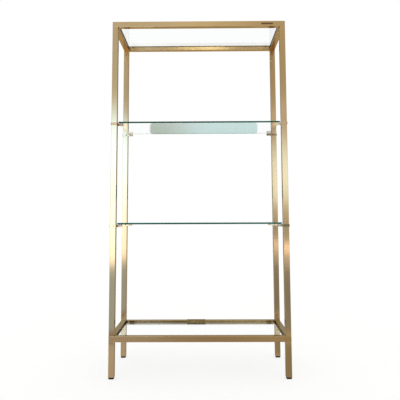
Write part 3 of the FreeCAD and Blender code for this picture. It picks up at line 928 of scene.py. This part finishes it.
@dataclass(frozen=True)
class LightCard:
    """A soft-edged glowing card that the metal and the glass show and the camera doesn't see.

    Its colour runs from low to high, or stays low's where no high is given. It may differ
    between its left and its right.
    """

    name: str
    centre: Triple
    width: float
    height: float
    feather: Span
    low: Colour
    high: Colour | None = None
    right_low: Colour | None = None
    right_high: Colour | None = None
    flat: bool = False
    turn: Span = (-1.0, 1.0)
    span: Span | None = None
    foot_feather: float | None = None
    rounding: float = 0.0
    rounding_steps: int = 8
    reach: Reach = Reach.MIRRORED

    def build(self) -> bpy.types.Object:
        """Makes the card.

        Returns:
            The card's object.
        """
        bpy.ops.object.select_all(action="DESELECT")
        bpy.ops.mesh.primitive_plane_add(size=1.0)
        card = bpy.context.object
        card.name = self.name
        card.scale = (self.width, self.height, 1.0)
        if not self.flat:
            card.rotation_euler = (math.radians(90.0), 0.0, 0.0)
        card.location = self.centre
        bpy.ops.object.transform_apply(location=True, rotation=True, scale=True)
        if self.rounding:
            bpy.ops.object.mode_set(mode="EDIT")
            bpy.ops.mesh.select_all(action="SELECT")
            bpy.ops.mesh.bevel(offset=self.rounding, segments=self.rounding_steps, affect="VERTICES")
            bpy.ops.object.mode_set(mode="OBJECT")
        card.data.materials.append(self.glow())
        card.visible_camera = False
        card.visible_shadow = False
        card.visible_diffuse = False
        card.visible_glossy, card.visible_transmission = self.reach.value
        return card

    def glow(self) -> bpy.types.Material:
        """Lays the card's nodes.

        Returns:
            The material.
        """
        bench = Bench(f"{self.name}_glow")
        parts = bench.split(bench.place())
        across = parts[0]
        up = parts[1 if self.flat else 2]
        middle = self.centre[1 if self.flat else 2]
        half_x = self.width / 2.0
        foot, head = middle - self.height / 2.0, middle + self.height / 2.0
        away_x = bench.count("ABSOLUTE", bench.count("SUBTRACT", across, self.centre[0]))
        mask_x = bench.spread(away_x, (half_x - self.feather[0], half_x), EBB, smooth=True)
        mask_head = bench.spread(up, (head - self.feather[1], head), EBB, smooth=True)
        mask_foot = bench.spread(up, (foot, foot + (self.foot_feather or self.feather[1])), smooth=True)
        mask = bench.count("MULTIPLY", mask_x, bench.count("MULTIPLY", mask_head, mask_foot))
        rise = bench.spread(up, self.span or (foot, head))
        colour = bench.blend(rise, self.low, self.high or self.low)
        if self.right_low is not None:
            right = bench.blend(rise, self.right_low, self.right_high or self.right_low)
            colour = bench.blend(bench.spread(across, self.turn, smooth=True), colour, right)
        lit = bench.lay("Emission", None, {"Color": colour, "Strength": 1.0})
        clear = bench.lay("BsdfTransparent")
        mixed = bench.lay("MixShader", None, {0: mask, 1: clear.outputs[0], 2: lit.outputs[0]})
        return bench.finish(mixed.outputs[0])


@dataclass
class Studio:
    """The pale floor, the white surround, the cards and the camera."""

    floor_radius: float = 4.0
    floor_corners: int = 96
    floor_drop: float = 0.2 * MM
    floor_tint: Colour = (0.28, 0.278, 0.272, 1.0)
    floor_fill: float = 0.73
    eye: Triple = (0.02131, -2.64467, 0.79777)
    yaw: float = 0.0071
    pitch: float = 0.0935
    roll: float = 0.0039
    focal_px: float = 484.61
    centre_row: float = 169.9
    frame_px: float = 400.0
    sensor_width: float = 36.0
    cards: tuple[LightCard, ...] = (
        LightCard("front_wall", (0.0, -4.6, 3.2), 9.0, 4.4, feather=(1.0, 0.6),
                  low=(1.15, 1.27, 1.50, 1.0), high=(0.99, 1.11, 1.31, 1.0),
                  right_low=(1.04, 1.07, 1.26, 1.0), right_high=(0.82, 0.81, 0.79, 1.0),
                  turn=(-0.6, 0.7), span=(2.2, 2.8)),
        LightCard("picture_rail", (1.15, -4.55, 2.35), 1.2, 0.36, feather=(0.35, 0.14),
                  low=(1.30, 1.30, 1.48, 1.0), high=(1.22, 1.22, 1.38, 1.0)),
        LightCard("ceiling", (0.0, -4.3, 4.4), 9.0, 2.2, feather=(1.0, 0.2),
                  low=(1.12, 1.12, 1.16, 1.0), right_low=(1.02, 0.99, 0.94, 1.0)),
        LightCard("window_left", (-1.60, -4.2, 1.3125), 2.3, 2.475, feather=(0.2, 0.80), foot_feather=0.16,
                  low=(3.2, 3.40, 4.2, 1.0), high=(2.45, 4.2, 7.9, 1.0), span=(0.10, 1.60)),
        LightCard("window_right", (1.20, -4.2, 1.44), 1.9, 1.32, feather=(0.3, 0.55), foot_feather=0.40,
                  low=(2.20, 2.80, 3.98, 1.0), high=(1.60, 2.10, 3.05, 1.0), span=(1.25, 1.85)),
        LightCard("skirting", (1.20, -4.15, 0.58), 1.0, 0.32, feather=(0.2, 0.06),
                  low=(0.66, 0.77, 0.97, 1.0)),
        LightCard("lamp_low", (1.20, -4.1, 0.268), 1.0, 0.356, feather=(0.2, 0.05),
                  low=(1.16, 1.19, 1.48, 1.0), high=(4.6, 4.1, 4.7, 1.0), span=(0.27, 0.40)),
        LightCard("lamp_front", (0.06, -4.2, 3.45), 1.5, 0.6, feather=(0.6, 0.2),
                  low=(1.56, 1.58, 1.50, 1.0)),
        LightCard("wall_back", (0.0, -4.4, 3.6), 9.0, 3.6, feather=(1.0, 0.6),
                  low=(0.96, 0.96, 0.94, 1.0), reach=Reach.THROUGH_GLASS),
        LightCard("lamp_back", (0.02, -4.2, 3.30), 1.20, 1.2, feather=(0.50, 0.30),
                  low=(3.1, 3.2, 3.0, 1.0), reach=Reach.THROUGH_GLASS),
        LightCard("floor_ahead", (0.0, -5.0, 0.001), 12.0, 10.4, feather=(1.0, 0.15), flat=True,
                  low=(0.72, 0.98, 1.50, 1.0), high=(0.92, 0.95, 1.08, 1.0),
                  right_low=(0.50, 0.55, 0.66, 1.0), right_high=(0.54, 0.52, 0.47, 1.0),
                  turn=(-0.65, 0.65), span=(-1.3, -0.7)),
        LightCard("floor_strip", (0.0, -1.02, 0.002), 1.6, 0.42, feather=(0.2, 0.08), flat=True,
                  low=(0.53, 0.42, 0.36, 1.0), right_low=(0.83, 0.80, 0.75, 1.0), turn=(0.0, 0.55)),
        LightCard("dim_wall_behind", (0.025, 1.5, 0.998), 0.95, 0.122, feather=(0.02, 0.01), rounding=0.06,
                  low=(0.02, 0.12, 0.02, 1.0), right_low=(0.06, 0.43, 0.38, 1.0), turn=(-0.35, 0.1)),
        LightCard("dim_wall_through", (0.025, 1.5, 1.542), 0.95, 0.122, feather=(0.02, 0.01),
                  rounding=0.06, low=(0.68, 0.72, 0.66, 1.0), right_low=(0.90, 0.91, 0.90, 1.0),
                  turn=(-0.40, 0.0), reach=Reach.THROUGH_GLASS),
    )

    def build(self) -> None:
        """Sets the whole studio."""
        self.surround()
        self.floor()
        for card in self.cards:
            card.build()
        self.camera()

    def surround(self) -> None:
        """A plain white surround."""
        world = bpy.data.worlds.new("studio")
        world.use_nodes = True
        backdrop = world.node_tree.nodes["Background"]
        backdrop.inputs["Color"].default_value = WHITE
        backdrop.inputs["Strength"].default_value = 1.0
        bpy.context.scene.world = world

    def floor(self) -> None:
        """A pale floor disc that takes the stand's shadow."""
        bpy.ops.object.select_all(action="DESELECT")
        bpy.ops.mesh.primitive_circle_add(
            vertices=self.floor_corners, radius=self.floor_radius, fill_type="NGON",
            location=(0.0, 0.0, -self.floor_drop))
        disc = bpy.context.object
        disc.name = "studio_floor"
        bpy.ops.object.transform_apply(location=True, rotation=True, scale=True)
        bench = Bench("pale_floor")
        paint = bench.lay("BsdfDiffuse", None, {"Color": self.floor_tint})
        path = bench.lay("LightPath").outputs
        seen = bench.count("MAXIMUM", path["Is Camera Ray"],
                           bench.count("MAXIMUM", path["Is Glossy Ray"], path["Is Transmission Ray"]))
        fill = bench.lay("Emission", None, {
            "Color": WHITE, "Strength": bench.count("MULTIPLY", seen, self.floor_fill)})
        both = bench.lay("AddShader", None, {0: paint.outputs[0], 1: fill.outputs[0]})
        disc.data.materials.append(bench.finish(both.outputs[0]))

    def camera(self) -> None:
        """The camera, as it stood before the stand."""
        data = bpy.data.cameras.new("camera")
        data.sensor_width = self.sensor_width
        data.lens = self.focal_px / self.frame_px * data.sensor_width
        data.shift_y = (self.centre_row - self.frame_px / 2.0) / self.frame_px
        eye = bpy.data.objects.new("camera", data)
        bpy.context.scene.collection.objects.link(eye)
        turned = (Matrix.Rotation(self.yaw, 4, "Z") @ Matrix.Rotation(self.pitch, 4, "X")
                  @ Matrix.Rotation(self.roll, 4, "Y") @ Matrix.Rotation(math.radians(90.0), 4, "X"))
        eye.matrix_world = Matrix.Translation(Vector(self.eye)) @ turned
        bpy.context.scene.camera = eye
        bpy.context.scene.view_settings.view_transform = "Standard"


# ---------------------------------------------------------------- the whole stand


def main() -> None:
    """Builds the dressed stand, then its studio."""
    logging.basicConfig(level=logging.INFO, format="%(name)s: %(message)s")
    for assembly in (TubeFrame(), Fastenings(), ShelfClips(), Panes(), Trim(), Studio()):
        assembly.build()
        LOG.info("%s is ready", type(assembly).__name__)


if __name__ == "__main__":
    main()
